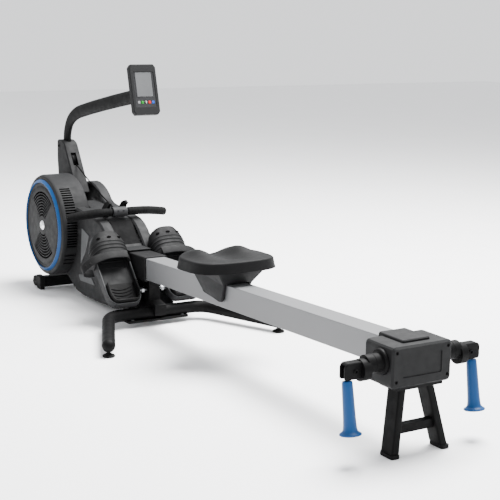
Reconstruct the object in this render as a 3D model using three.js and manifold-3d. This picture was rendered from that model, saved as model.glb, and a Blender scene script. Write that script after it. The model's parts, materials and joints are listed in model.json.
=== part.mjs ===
// Rowing machine with an air fan, a sliding seat and two upright-pull handles at the rear.
// Millimetres. +X points to the rear (the way the rower moves on the drive), +Y to the
// rower's right, +Z up. The floor is z = 0 and the origin is the middle of the footprint.
import * as THREE from "three";
import { mergeVertices } from "three/addons/utils/BufferGeometryUtils.js";
import Module from "manifold-3d";

const wasm = await Module();
wasm.setup();

// ---------------------------------------------------------------- driving dimensions
const GAP = 0.3;
const RAIL = { width: 82, height: 84, wall: 4, slope: 0.032, midZ: 231, front: -480, rear: 1172 };
const FAN = { x: -1090, z: 288, radius: 218, left: -165, right: -33, ring: 196, wheel: 182 };
const BODY = { inner: 49, outer: 100, wall: 4 };
const MAST = { half: 32, wall: 4 };
const BAR = { x: -675, z: 395, half: 219, radius: 14, grip: 18 };
const SEAT = { x: 206, halfWidth: 164, halfDepth: 130, rim: 128, thick: 38 };
const BOX = { front: 1152, rear: 1280, half: 104, bottom: 197, top: 315 };
const BOSS = { x: 1230, z: 266, radius: 38, neck: 27, end: 138 };
const SKI = { x: 1232, y: 219, top: 229, bottom: 80, lean: 9, pulleyY: 202, pulleyZ: 256, cord: 27 };
const FOOT = { heelX: -352, heelZ: 107, y: 129.5, width: 146, length: 288, angle: 47.5 };
const FOOT_AXLE = { x: -378, z: 132, radius: 8, nut: 13 };
const CORD_RADIUS = 2.5;
const IDLER = { x: -1160, z: 556, radius: 25 };
const MAST_ARM = {
  x: -1208,
  across: 14,
  deep: 27.5,
  route: [
    [-1208, 606], [-1208, 642], [-1198, 684], [-1164, 730], [-1095, 765], [-1000, 787],
    [-882, 810], [-704, 842], [-500, 876],
  ],
};
const CONSOLE = {
  x: -431, z: 906, width: 112, height: 196, depth: 26, lean: 15, armZ: -11, screenZ: 20, keyZ: -50,
  keys: [
    ["menu_key", 0x8a8a8a, -30], ["start_key", 0x1f9a35, -15], ["arrow_key", 0xd8d8d8, 0],
    ["stop_key", 0xd42a22, 15], ["display_key", 0x2a66c4, 30],
  ],
};
const FRONT_BAR = { x: -1120, z: 33, half: 161, size: 46 };
const MID_BAR = { x: -340, z: 50, radius: 24, bend: 190, footX: -6, footY: 355 };

// ---------------------------------------------------------------- materials
const finish = (color, roughness, metalness = 0) =>
  new THREE.MeshStandardMaterial({ color, roughness, metalness });
const CHARCOAL = [0x46474a, 0.6];
const BLACK = [0x1f2022, 0.55];
const RUBBER = [0x19191a, 0.85];
const ALUMINIUM = [0xc9cbce, 0.35, 0.9];
const STEEL = [0x9a9da1, 0.35, 1];
const BLUE = [0x1f6fb5, 0.45];
const LIGHT_GREY = [0x86888b, 0.6];
const CORD = [0x151515, 0.8];

// Shifts the whole machine so that its footprint is centred on the origin.
const CENTRE_SHIFT = 9;

const machine = new THREE.Group();
machine.position.x = CENTRE_SHIFT;

function add(name, geometry, look, parent = machine) {
  const mesh = new THREE.Mesh(geometry, finish(...look));
  mesh.name = name;
  parent.add(mesh);
  return mesh;
}

// ---------------------------------------------------------------- geometry helpers
const vec = (x, y, z) => new THREE.Vector3(x, y, z);
const move = (geometry, x, y, z) => geometry.translate(x, y, z);

function solid(geometry) {
  const bare = geometry.index ? geometry.toNonIndexed() : geometry.clone();
  bare.deleteAttribute("normal");
  bare.deleteAttribute("uv");
  const merged = mergeVertices(bare, 1e-3);
  return new wasm.Manifold(
    new wasm.Mesh({
      numProp: 3,
      vertProperties: merged.attributes.position.array,
      triVerts: new Uint32Array(merged.index.array),
    }),
  );
}

function surface(body) {
  const mesh = body.getMesh();
  const geometry = new THREE.BufferGeometry();
  geometry.setAttribute("position", new THREE.BufferAttribute(mesh.vertProperties, 3));
  geometry.setIndex(new THREE.BufferAttribute(mesh.triVerts, 1));
  return geometry;
}

function cut(base, ...tools) {
  let body = solid(base);
  for (const tool of tools) body = body.subtract(solid(tool));
  return surface(body);
}

function join(...pieces) {
  let body = solid(pieces[0]);
  for (const piece of pieces.slice(1)) body = body.add(solid(piece));
  return surface(body);
}

const block = (x0, x1, y0, y1, z0, z1) =>
  move(
    new THREE.BoxGeometry(x1 - x0, y1 - y0, z1 - z0),
    (x0 + x1) / 2,
    (y0 + y1) / 2,
    (z0 + z1) / 2,
  );

// A cylinder from a to b.
function rod(a, b, radius, sides = 24, endRadius = radius) {
  const along = b.clone().sub(a);
  const geometry = new THREE.CylinderGeometry(endRadius, radius, along.length(), sides);
  const turn = new THREE.Quaternion().setFromUnitVectors(vec(0, 1, 0), along.clone().normalize());
  geometry.applyQuaternion(turn);
  return move(geometry, ...a.clone().add(b).multiplyScalar(0.5).toArray());
}

function shapeOf(points) {
  return new THREE.Shape(points.map(([u, v]) => new THREE.Vector2(u, v)));
}

// Rounds every corner of a closed outline with an arc of the given radius.
function rounded(points, radius, steps = 3) {
  const out = [];
  points.forEach((point, i) => {
    const here = new THREE.Vector2(...point);
    const before = new THREE.Vector2(...points[(i + points.length - 1) % points.length]);
    const after = new THREE.Vector2(...points[(i + 1) % points.length]);
    const reach = Math.min(radius, here.distanceTo(before) / 2.2, here.distanceTo(after) / 2.2);
    const from = here.clone().add(before.sub(here).setLength(reach));
    const to = here.clone().add(after.sub(here).setLength(reach));
    const arc = new THREE.QuadraticBezierCurve(from, here, to);
    for (const p of arc.getPoints(steps)) out.push([p.x, p.y]);
  });
  return out;
}

const rectangle = (w, h, radius = 3, steps = 3) =>
  rounded([[-w / 2, -h / 2], [w / 2, -h / 2], [w / 2, h / 2], [-w / 2, h / 2]], radius, steps);

const square = (u, v, half) =>
  [[u - half, v - half], [u + half, v - half], [u + half, v + half], [u - half, v + half]];

function oval(across, deep, grow) {
  const out = [];
  for (let i = 0; i < 20; i += 1) {
    const angle = (2 * Math.PI * i) / 20;
    out.push([(across + grow) * Math.cos(angle), (deep + grow) * Math.sin(angle)]);
  }
  return out;
}

// A flat shape made solid from 0 to depth, with an optional bevelled edge.
const extruded = (shape, depth, bevel) =>
  new THREE.ExtrudeGeometry(shape, {
    depth: depth - 2 * bevel,
    bevelEnabled: bevel > 0,
    bevelSize: bevel,
    bevelOffset: -bevel,
    bevelThickness: bevel,
    bevelSegments: 1,
  }).translate(0, 0, bevel);

// A side-view outline (x, z) made solid between y0 and y1, with an optional bevelled edge.
function plate(points, y0, y1, bevel = 0) {
  const geometry = extruded(shapeOf(points), y1 - y0, bevel);
  geometry.rotateX(Math.PI / 2);
  return move(geometry, 0, y1, 0);
}

// An outline (y, z) made solid from x0 to x1.
function beam(points, x0, x1, bevel = 0) {
  const geometry = extruded(shapeOf(points), x1 - x0, bevel);
  geometry.applyMatrix4(new THREE.Matrix4().makeBasis(vec(0, 1, 0), vec(0, 0, 1), vec(1, 0, 0)));
  return move(geometry, x0, 0, 0);
}

// An outline (x, y) made solid from z0 to z1.
function slab(points, z0, z1, bevel = 0) {
  return move(extruded(shapeOf(points), z1 - z0, bevel), 0, 0, z0);
}

// A turned part on the Y axis: points are [radius, y], listed so that y falls.
function turned(points, x, y, z, sides = 24) {
  const profile = points.map(([r, v]) => new THREE.Vector2(r, v));
  return move(new THREE.LatheGeometry(profile, sides), x, y, z);
}

// A ring on the Y axis between two radii.
function ring(inner, outer, y0, y1, x, z, sides = 28) {
  const points = [[inner, y0], [outer, y0], [outer, y1], [inner, y1], [inner, y0]];
  return turned(points, x, 0, z, sides);
}

const disc = (radius, y0, y1, x, z, sides = 28) =>
  turned([[0, y0], [radius, y0], [radius, y1], [0, y1]], x, 0, z, sides);

function pipe(points, radius, sides = 12, steps = 24, across = radius) {
  const path = new THREE.CatmullRomCurve3(points);
  const section = [];
  for (let i = 0; i < sides; i += 1) {
    const angle = (2 * Math.PI * i) / sides;
    section.push([radius * Math.cos(angle), across * Math.sin(angle)]);
  }
  return new THREE.ExtrudeGeometry(shapeOf(section), { extrudePath: path, steps });
}

// Moves each point of a closed outline inwards by a distance.
function inset(points, distance) {
  const area = THREE.ShapeUtils.area(points.map(([u, v]) => new THREE.Vector2(u, v)));
  const side = Math.sign(area);
  return points.map(([u, v], i) => {
    const [pu, pv] = points[(i + points.length - 1) % points.length];
    const [nu, nv] = points[(i + 1) % points.length];
    const a = new THREE.Vector2(u - pu, v - pv).normalize();
    const b = new THREE.Vector2(nu - u, nv - v).normalize();
    const across = new THREE.Vector2(-(a.y + b.y), a.x + b.x).normalize();
    const stretch = distance / Math.max(0.5, across.x * -a.y + across.y * a.x);
    return [u + side * across.x * stretch, v + side * across.y * stretch];
  });
}

const mirrorY = (geometry) => {
  const flipped = geometry.index ? geometry.toNonIndexed() : geometry.clone();
  const position = flipped.attributes.position;
  for (let i = 0; i < position.count; i += 3) {
    const triangle = [0, 1, 2].map((k) => vec().fromBufferAttribute(position, i + k));
    [0, 2, 1].forEach((k, slot) => {
      position.setXYZ(i + slot, triangle[k].x, -triangle[k].y, triangle[k].z);
    });
  }
  flipped.deleteAttribute("normal");
  flipped.deleteAttribute("uv");
  return flipped;
};

const SIDES = [["left", -1], ["right", 1]];
const sided = (geometry, side) => (side < 0 ? mirrorY(geometry) : geometry);

// ---------------------------------------------------------------- rail and its sleeve
// The rail climbs gently to the rear; its frame has +X along the rail and z = 0 at mid height.
const railFrame = new THREE.Group();
railFrame.position.set(0, 0, RAIL.midZ);
railFrame.rotation.y = -Math.atan(RAIL.slope);
machine.add(railFrame);
const railTop = RAIL.height / 2;

function addRail() {
  const outer = beam(rectangle(RAIL.width, RAIL.height, 4), RAIL.front, RAIL.rear);
  const hollow = rectangle(RAIL.width - 2 * RAIL.wall, RAIL.height - 2 * RAIL.wall, 2);
  const bore = beam(hollow, RAIL.front - 5, RAIL.rear + 5);
  add("rail", cut(outer, bore), ALUMINIUM, railFrame);

  const sleeve = beam(rectangle(96, 96, 6), -562, -342, 2);
  const socket = beam(rectangle(RAIL.width + 2 * GAP, RAIL.height + 2 * GAP, 4), -520, -300);
  add("rail_collar", cut(sleeve, socket), BLACK, railFrame);
}

// ---------------------------------------------------------------- fan
const LOUVRES = [
  { from: 52, to: 21, count: 11 },
  { from: 16, to: -17, count: 12 },
  { from: -29, to: -41, count: 3 },
];

function addFan() {
  const { x, z, radius, left, right } = FAN;
  const wall = 4;
  const lip = radius - 20;
  const profile = [
    [26, right - wall], [radius - wall, right - wall], [radius - wall, left + 20], [lip, left + 8],
    [lip, left], [radius - 14, left], [radius - 5, left + 4], [radius, left + 14],
    [radius, right - 8], [radius - 8, right], [26, right], [26, right - wall],
  ];
  const slots = [];
  for (const { from, to, count } of LOUVRES) {
    for (let i = 0; i < count; i += 1) {
      const angle = from + ((to - from) * i) / (count - 1);
      const slot = new THREE.BoxGeometry(24, 46, 6.4);
      slot.translate(radius, -122, 0);
      slot.rotateY(THREE.MathUtils.degToRad(-angle));
      slots.push(move(slot, x, 0, z));
    }
  }
  add("fan_housing", cut(turned(profile, x, 0, z, 44), ...slots), CHARCOAL);

  const arcs = [];
  for (const middle of [90, 270]) {
    for (let r = 44; r < 132; r += 14) {
      const from = THREE.MathUtils.degToRad(middle - 38);
      const to = THREE.MathUtils.degToRad(middle + 38);
      const arc = new THREE.Shape();
      arc.absarc(0, 0, r + 2.4, from, to, false);
      arc.absarc(0, 0, r - 2.4, to, from, true);
      const opening = new THREE.ExtrudeGeometry(arc, {
        depth: 30,
        bevelEnabled: false,
        curveSegments: 4,
      });
      opening.rotateX(Math.PI / 2);
      arcs.push(move(opening, x, left + 20, z));
    }
  }
  const face = disc(FAN.ring - 11, left + 3, left + 9, x, z, 44);
  add("fan_grille", cut(face, ...arcs), CHARCOAL);

  const outer = FAN.ring + 1.6;
  const inner = FAN.ring - 11 + GAP;
  const bezel = [
    [inner, left + 9], [inner, left - 1], [inner + 4, left - 3], [outer, left + 3],
    [outer, left + 9], [inner, left + 9],
  ];
  add("grille_ring", turned(bezel, x, 0, z, 44), BLUE);
  const capBack = left + 3 - GAP;
  const cap = [[0, left - 8], [14, left - 7], [21, left - 3], [23, capBack], [0, capBack]];
  add("hub_cap", turned(cap, x, 0, z, 24), STEEL);

  const wheel = [
    disc(FAN.wheel, -62, -58, x, z, 32), disc(34, -150, -50, x, z, 20),
    disc(9, left + 12, 92, x, z, 20),
  ];
  for (let i = 0; i < 12; i += 1) {
    const blade = new THREE.BoxGeometry(84, 80, 3);
    blade.translate(FAN.wheel - 44, -100, 0);
    blade.rotateY((2 * Math.PI * i) / 12);
    wheel.push(move(blade, x, 0, z));
  }
  add("fan_wheel", join(...wheel), LIGHT_GREY);
  add("fan_bearing", ring(9 + GAP, 25.7, right - 8, right - GAP, x, z, 20), STEEL);
  const spool = [
    [9 + GAP, -16], [40, -16], [40, -12], [30, -10], [30, 10], [40, 12], [40, 16], [9 + GAP, 16],
    [9 + GAP, -16],
  ];
  add("cord_drum", turned(spool, x, 0, z, 24), BLACK);
}

// ---------------------------------------------------------------- frame and body covers
const fanClearance = () => disc(FAN.radius + 3, FAN.left - 20, FAN.right + 4, FAN.x, FAN.z, 96);

function addFrame() {
  const spineLine = [[-1146, 64], [-300, 40], [-300, 84], [-480, 118], [-560, 128], [-1146, 112]];
  const spine = plate(rounded(spineLine, 6), -24, 24);
  const mastPlate = [[-1150, 90], [-1030, 90], [-1058, 340], [-1108, 424], [-1150, 424]];
  const farPlate = [[-1122, 120], [-1058, 120], [-1058, 322], [-1122, 322]];
  const shelf = block(-1120, -1060, 20, 74, 120, 136);
  const post = block(-404, -352, -24, 24, 80, 168);
  const pieces = [
    spine, plate(rounded(mastPlate, 12), -27, -21), plate(rounded(farPlate, 12), 70, 76),
    block(-1120, -1060, 20, 24, 100, 136), shelf, post,
  ];
  const bores = [disc(26, -60, 60, FAN.x, FAN.z, 24), disc(9 + GAP, 60, 120, FAN.x, FAN.z, 20)];
  const axleBore = disc(FOOT_AXLE.radius + GAP, -60, 60, FOOT_AXLE.x, FOOT_AXLE.z, 16);
  add("base_frame", cut(join(...pieces), ...bores, axleBore), BLACK);
}

const BELLY = [[-824, 22], [-675, 26], [-521, 34], [-374, 62]];
const FENDER = [
  [-440, 165], [-485, 215], [-516, 244], [-550, 275], [-580, 306], [-606, 330], [-637, 352],
  [-668, 365], [-712, 371], [-790, 380], [-870, 386], [-925, 392],
];

function coverOutline(front) {
  return [...BELLY, ...FENDER, ...front];
}

function addCovers() {
  const leftFront = [[-1080, 400], [-1100, 300], [-1060, 110], [-900, 30]];
  const arc = [];
  for (let angle = 42; angle <= 232; angle += 10) {
    const turn = THREE.MathUtils.degToRad(angle);
    arc.push([FAN.x + 178 * Math.cos(turn), FAN.z + 178 * Math.sin(turn)]);
  }
  const rightFront = [...arc, [-1120, 96], [-900, 30]];

  for (const [side, sign] of SIDES) {
    const outline = coverOutline(sign < 0 ? leftFront : rightFront);
    const shell = plate(outline, BODY.inner + GAP, BODY.outer, 7);
    const hollow = plate(inset(outline, BODY.wall + 2), 20, BODY.outer - BODY.wall);
    const bulge = [
      [0, BODY.outer - 3], [156, BODY.outer - 3], [156, BODY.outer + 3], [148, BODY.outer + 8],
      [0, BODY.outer + 8],
    ];
    const outside = sign < 0 ? shell : join(shell, turned(bulge, FAN.x, 0, FAN.z, 40));
    const cover = sided(cut(outside, hollow), sign);
    add(side + "_side_cover", sign < 0 ? cut(cover, fanClearance()) : cover, CHARCOAL);
  }

  const ridge = [
    [-480, 272], [-560, 270], [-605, 304], [-668, 362], [-712, 368], [-790, 376], [-880, 382],
    [-1000, 396], [-1030, 402],
  ];
  const lid = [...ridge, ...ridge.map(([u, v]) => [u - 1, v - 5]).reverse()];
  const half = BODY.inner;
  const notch = block(-1300, -1000, -MAST.half - GAP, MAST.half + GAP, 300, 500);
  add("centre_cover", cut(plate(lid, -half, half), fanClearance(), notch), CHARCOAL);
}

// ---------------------------------------------------------------- mast and cord guide
function addMast() {
  const outline = [
    [-1240, 345], [-1036, 424], [-1172, 630], [-1196, 640], [-1249, 640], [-1252, 560], [-1240, 450],
  ];
  const shell = plate(rounded(outline, 12), -MAST.half, MAST.half, 5);
  const inner = rounded(inset(outline, MAST.wall + 2), 8);
  const hollow = plate(inner, -MAST.half + MAST.wall, MAST.half - MAST.wall);
  const slot = new THREE.BoxGeometry(60, 24, 62);
  slot.rotateY(THREE.MathUtils.degToRad(-34));
  move(slot, -1120, 0, 568);
  const foot = block(-1234, -1060, -27.7, 27.7, 300, 440);
  const socket = beam(oval(MAST_ARM.across, MAST_ARM.deep, 1.4), 600, 660);
  socket.rotateY(-Math.PI / 2);
  move(socket, MAST_ARM.x, 0, 0);
  const { x, z, radius } = IDLER;
  const axle = disc(5, -MAST.half + 2, MAST.half - 2, x, z, 16);
  const body = cut(shell, hollow, slot, foot, socket);
  add("mast", join(body, axle), CHARCOAL);
  const groove = [
    [5 + GAP, -8], [radius + 3, -8], [radius, -3], [radius, 3], [radius + 3, 8], [5 + GAP, 8],
    [5 + GAP, -8],
  ];
  add("idler_pulley", turned(groove, x, 0, z, 24), STEEL);
}

// ---------------------------------------------------------------- stabilisers and feet
function addStabilisers() {
  const { x, z, half, size } = FRONT_BAR;
  const bar = plate(rounded(square(x, z, size / 2), 8), -half, half);
  const saddle = block(x - 30, x + 30, -26, 26, z + size / 2 - 1, 62.1);
  add("front_stabilizer", join(bar, saddle), BLACK);
  const wheelX = x - 55;
  const wheelZ = z - 6;
  for (const [side, sign] of SIDES) {
    const shape = [[x - 29, z - 18], [x + 29, z - 18], [x + 29, z + 29], [x - 29, z + 29]];
    const cap = plate(rounded(shape, 12), half + GAP, half + 24, 4);
    const pad = block(x - 22, x + 22, half + 2, half + 20, 0, z - 15);
    const fork = [half + GAP, half + 20].map((y) =>
      block(wheelX - 6, x - 20, y, y + 4, wheelZ - 6, wheelZ + 6),
    );
    const axle = disc(4, half + 2, half + 22, wheelX, wheelZ, 16);
    add(side + "_front_cap", sided(join(cap, pad, ...fork, axle), sign), RUBBER);
    const tyre = [[4 + GAP, -7], [20, -7], [24, -4], [24, 4], [20, 7], [4 + GAP, 7], [4 + GAP, -7]];
    const wheel = turned(tyre, wheelX, sign * (half + 12), wheelZ, 24);
    add(side + "_transport_wheel", wheel, RUBBER);
  }

  const { bend, footX, footY, radius } = MID_BAR;
  const corner = vec(MID_BAR.x, bend + 14, MID_BAR.z);
  const end = vec(footX, footY, MID_BAR.z - 10);
  const leave = end.clone().sub(corner).setLength(60).add(corner);
  const elbow = new THREE.QuadraticBezierCurve3(vec(MID_BAR.x, bend - 46, MID_BAR.z), corner, leave);
  const halfRoute = [...elbow.getPoints(6), leave.clone().lerp(end, 0.5), end];
  const route = [...halfRoute.map((p) => vec(p.x, -p.y, p.z)).reverse(), ...halfRoute];
  const tube = pipe(route, radius, 12, 22);
  const tips = [-1, 1].map((sign) => {
    const tip = new THREE.SphereGeometry(radius, 12, 8);
    return move(tip, footX, sign * footY, end.z);
  });
  const threads = [-1, 1].map((sign) =>
    rod(vec(footX, sign * footY, 0), vec(footX, sign * footY, 44), 6 + GAP, 12),
  );
  const seat = block(-420, -260, -30, 30, 39.5, 90);
  const base = slab(rounded([[-368, -130], [-312, -130], [-312, 130], [-368, 130]], 8), 19, 29);
  add("mid_stabilizer", cut(join(tube, ...tips, base), seat, ...threads), BLACK);
  const profile = [[0, 0], [21, 0], [23, 3], [23, 6], [14, 10], [0, 10]];
  for (const [side, sign] of SIDES) {
    const stem = rod(vec(footX, sign * footY, 4), vec(footX, sign * footY, 38), 6, 12);
    const pad = new THREE.LatheGeometry(profile.map(([r, v]) => new THREE.Vector2(r, v)), 24);
    pad.rotateX(Math.PI / 2);
    add(side + "_level_foot", join(move(pad, footX, sign * footY, 0), stem), RUBBER);
  }
}

// ---------------------------------------------------------------- rear housing and ski pulls
function addRear() {
  const { front, rear, half, bottom, top } = BOX;
  const inPlane = (y0, y1, z0, z1, radius) =>
    rounded([[y0, z0], [y1, z0], [y1, z1], [y0, z1]], radius);
  const casing = beam(inPlane(-half, half, bottom, top, 14), front, rear, 6);
  const crown = [[-52, top - 20], [52, top - 20], [47, top + 8], [-47, top + 8]];
  const hump = beam(rounded(crown, 5), front - 13, rear - 30, 3);
  const panel = beam(inPlane(-68, 68, 226, 288, 4), rear - 2.5, rear + 5);
  const pocket = beam(inPlane(-half + 6, half - 6, bottom + 6, top - 6, 10), front + 6, rear - 9);
  const section = rectangle(RAIL.width + 2 * GAP, RAIL.height + 2 * GAP, 4);
  const railHole = beam(section, front - 40, front + 26);
  railFrame.updateMatrix();
  railHole.applyMatrix4(railFrame.matrix);
  const sideHoles = [-1, 1].map((sign) =>
    disc(BOSS.neck - 6, Math.min(sign * 80, sign * 120), Math.max(sign * 80, sign * 120), BOSS.x, BOSS.z),
  );
  const spots = [-89, 89].flatMap((y) => [217, 299].map((z) => [y, z]));
  const holes = spots.map(([y, z]) => rod(vec(rear - 6, y, z), vec(rear + 3, y, z), 5, 12));
  const body = cut(join(casing, hump), panel, pocket, railHole, ...sideHoles, ...holes);
  add("rear_housing", body, CHARCOAL);

  const tube = BOSS.neck - 6;
  const collar = [
    [tube, half + GAP], [BOSS.radius, half + GAP], [BOSS.radius, half + 8],
    [BOSS.radius - 4, half + 12], [BOSS.neck, half + 12], [BOSS.neck, BOSS.end],
    [tube, BOSS.end], [tube, half + GAP],
  ];

  for (const [side, sign] of SIDES) {
    add(side + "_boss", sided(turned(collar, BOSS.x, 0, BOSS.z), sign), BLACK);
    addPulleyBracket(side, sign);
    addSkiHandle(side, sign);
  }

  const legs = [-1, 1].map((sign) => {
    const leg = slab(rounded([[-27, -13], [27, -13], [27, 13], [-27, 13]], 7), 12, 190);
    const position = leg.attributes.position;
    for (let i = 0; i < position.count; i += 1) {
      const share = position.getZ(i) / 190;
      position.setX(i, position.getX(i) + 1260 - 28 * share);
      position.setY(i, position.getY(i) + sign * (88 - 40 * share));
    }
    return leg;
  });
  const cross = block(1238, 1262, -70, 70, 60, 86);
  const deck = block(1195, 1272, -80, 80, 188, bottom - GAP);
  add("rear_legs", join(...legs, cross, deck), BLACK);
  for (const [side, sign] of SIDES) {
    const y = sign * 88;
    const outline = [[1232, y - 15], [1290, y - 15], [1290, y + 15], [1232, y + 15]];
    add(side + "_rear_foot", slab(rounded(outline, 8), 0, 12 - GAP), RUBBER);
  }
}

// The cord comes out through the boss along Y and turns down over a small pulley.
function addPulleyBracket(side, sign) {
  const y0 = BOSS.end + GAP;
  const { x, pulleyY, pulleyZ } = SKI;
  const neck = disc(27, y0, y0 + 24, BOSS.x, BOSS.z, 24);
  const barrel = disc(31, y0 + 20, y0 + 44, x + 1, BOSS.z - 12, 24);
  const outline = [[164, 234], [236, 234], [236, 272], [228, 281], [164, 281]];
  const head = beam(rounded(outline, 8), x - 15, x + 15, 2);
  const well = block(x - 8, x + 8, 184.5, 260, 200, pulleyZ + 19);
  const pin = rod(vec(x - 12, pulleyY, pulleyZ), vec(x + 12, pulleyY, pulleyZ), 3.5, 12);
  const body = join(cut(join(neck, barrel, head), well), pin);
  add(side + "_pulley_bracket", sided(body, sign), BLACK);
  const groove = [
    [3.5 + GAP, -5], [16, -5], [14, -2.9], [14, 2.9], [16, 5], [3.5 + GAP, 5], [3.5 + GAP, -5],
  ];
  const sheave = turned(groove, 0, 0, 0, 20).rotateZ(-Math.PI / 2);
  add(side + "_ski_pulley", move(sheave, x, sign * pulleyY, pulleyZ), STEEL);
}

function addSkiHandle(side, sign) {
  const { x, y, top, bottom, lean } = SKI;
  const length = top - bottom;
  const profile = [
    [0, 0], [27, 0], [31, 3], [30, 7], [20, 13], [16, 22], [15.5, 45], [16, 80], [13, length - 12],
    [10.5, length - 3], [8, length], [0, length],
  ].map(([r, v]) => new THREE.Vector2(r, v));
  const grip = new THREE.LatheGeometry(profile, 20);
  grip.rotateX(Math.PI / 2);
  grip.translate(0, 0, -length);
  grip.rotateY(-THREE.MathUtils.degToRad(lean));
  const cord = rod(vec(0, 0, -20), vec(0, 0, SKI.cord), 2.5, 8);
  add(side + "_ski_handle", move(join(grip, cord), x, sign * y, top), BLUE);
}

// ---------------------------------------------------------------- seat
// Height of the seat's top surface: two thigh lobes either side of a shallow channel.
function seatTop(u, v) {
  const lobe = Math.exp(-(((Math.abs(v) - 82) / 40) ** 2)) * Math.exp(-(((u + 50) / 75) ** 2));
  const channel = Math.exp(-((v / 40) ** 2)) * (u < 20 ? 1 : Math.exp(-(((u - 20) / 50) ** 2)));
  return SEAT.rim + 24 * lobe - 8 * channel;
}

function seatPad() {
  const around = 32;
  const rings = 6;
  const { halfWidth, halfDepth, rim, thick } = SEAT;
  const at = (angle, share) => {
    const c = Math.cos(angle);
    const s = Math.sin(angle);
    const power = 2 / 3.2;
    return [
      share * halfDepth * Math.sign(c) * Math.abs(c) ** power,
      share * halfWidth * Math.sign(s) * Math.abs(s) ** power,
    ];
  };
  const position = [];
  const push = (u, v, z) => position.push(u, v, z);
  push(0, 0, seatTop(0, 0));
  for (let k = 1; k <= rings; k += 1) {
    for (let i = 0; i < around; i += 1) {
      const [u, v] = at((2 * Math.PI * i) / around, (0.97 * k) / rings);
      push(u, v, seatTop(u, v) - (k === rings ? 3 : 0));
    }
  }
  for (const [share, drop] of [[1, 12], [0.94, thick]]) {
    for (let i = 0; i < around; i += 1) {
      const [u, v] = at((2 * Math.PI * i) / around, share);
      push(u, v, rim - drop + (drop < thick ? seatTop(u, v) - rim : 0));
    }
  }
  push(0, 0, rim - thick);
  const loops = rings + 2;
  const last = 1 + loops * around;
  const index = [];
  const point = (k, i) => 1 + (k - 1) * around + (i % around);
  for (let i = 0; i < around; i += 1) {
    index.push(0, point(1, i), point(1, i + 1));
    for (let k = 1; k < loops; k += 1) {
      index.push(point(k, i), point(k + 1, i), point(k + 1, i + 1));
      index.push(point(k, i), point(k + 1, i + 1), point(k, i + 1));
    }
    index.push(point(loops, i), last, point(loops, i + 1));
  }
  const geometry = new THREE.BufferGeometry();
  geometry.setAttribute("position", new THREE.Float32BufferAttribute(position, 3));
  geometry.setIndex(index);
  return move(geometry, SEAT.x, 0, 0);
}

function addSeat() {
  add("seat_pad", seatPad(), RUBBER, railFrame);
  const x = SEAT.x;
  const roof = SEAT.rim - SEAT.thick - GAP;
  const skirt = [
    [x - 112, roof], [x - 96, railTop + 4], [x - 72, -4], [x - 10, -12], [x + 44, -22],
    [x + 62, -16], [x + 78, railTop - 2], [x + 108, roof],
  ];
  const body = plate(rounded(skirt, 10), -56, 56, 3);
  const position = body.attributes.position;
  for (let i = 0; i < position.count; i += 1) {
    const share = Math.min(1, Math.max(0, (position.getZ(i) - railTop) / (roof - railTop)));
    position.setY(i, position.getY(i) * (1 + 0.62 * share));
  }
  const half = RAIL.width / 2 + 5;
  const tunnel = block(x - 200, x + 200, -half, half, -200, railTop + 5);
  const cell = block(x - 66, x + 70, -40, 40, railTop, railTop + 36);
  const spots = [["front", x - 36], ["rear", x + 44]];
  const height = railTop + 15.3;
  const axles = spots.map(([, at]) => disc(4, -42, 42, at, height, 16));
  add("seat_carriage", join(cut(body, tunnel, cell), ...axles), CHARCOAL, railFrame);
  for (const [end, at] of spots) {
    add(end + "_roller", ring(4 + GAP, 15, -34, 34, at, height, 20), RUBBER, railFrame);
  }
}

// ---------------------------------------------------------------- footrests
function addFootrests() {
  const w = FOOT.width / 2;
  const toe = FOOT.length;
  const raw = [
    [-26, -w + 20], [10, -w + 2], [toe - 60, -w], [toe, -w + 18], [toe, w - 18], [toe - 60, w],
    [10, w - 2], [-26, w - 20],
  ];
  for (const [side, sign] of SIDES) {
    const frame = new THREE.Group();
    frame.position.set(FOOT.heelX, sign * FOOT.y, FOOT.heelZ);
    frame.rotation.y = THREE.MathUtils.degToRad(180 + FOOT.angle);
    machine.add(frame);
    // Here +X runs from heel to toe and -Z is the side that the sole stands on.
    const tray = slab(rounded(raw, 16), -15, 16);
    const well = slab(rounded(inset(raw, 7), 12), -30, 6);
    add(side + "_footplate", cut(tray, well), CHARCOAL, frame);

    const cup = [[-17, -w + 22], [16, -w + 11], [74, -w + 11], [74, w - 11], [16, w - 11], [-17, w - 22]];
    const heel = slab(rounded(cup, 14), -34, 5.7);
    const hollow = slab(rounded(inset(cup, 5), 10).map(([u, v]) => [u, v]), -60, 1);
    const front = block(40, 90, -w + 17, w - 17, -60, 1);
    add(side + "_heel_cup", cut(heel, hollow, front), RUBBER, frame);

    const arch = [[-w - 6, 14], [-w - 6, -25], [-w + 20, -48], [w - 20, -48], [w + 6, -25], [w + 6, 14]];
    const under = [[-w - 1, 20], [-w - 1, -24], [-w + 21, -43], [w - 21, -43], [w + 1, -24], [w + 1, 20]];
    const band = cut(beam(rounded(arch, 14), 160, 262), beam(rounded(under, 12), 150, 270));
    add(side + "_strap", band, RUBBER, frame);
  }
  const { x, z, radius, nut } = FOOT_AXLE;
  const end = FOOT.y - w - GAP;
  const nuts = [-1, 1].map((sign) => {
    const middle = sign * (end - 14);
    return disc(nut, middle - 5, middle + 5, x, z, 6);
  });
  add("footrest_axle", join(disc(radius, -end, end, x, z, 16), ...nuts), STEEL);
}

// ---------------------------------------------------------------- handlebar
// The cord leaves the mast's slot and sags a little on its way to the clamp's lug.
const CORD_ROUTE = [
  [-1112, 541], [-1085.3, 530], [-1058.5, 519.1], [-1031.8, 508.3], [-1005.1, 497.7],
  [-978.3, 487.3], [-951.6, 477.1], [-924.9, 467.3], [-898.1, 457.8], [-871.4, 448.5],
  [-844.7, 439.6], [-817.9, 430.9], [-791.2, 422.5], [-764.5, 414.2], [-737.7, 406.1], [-711, 398],
];

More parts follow.
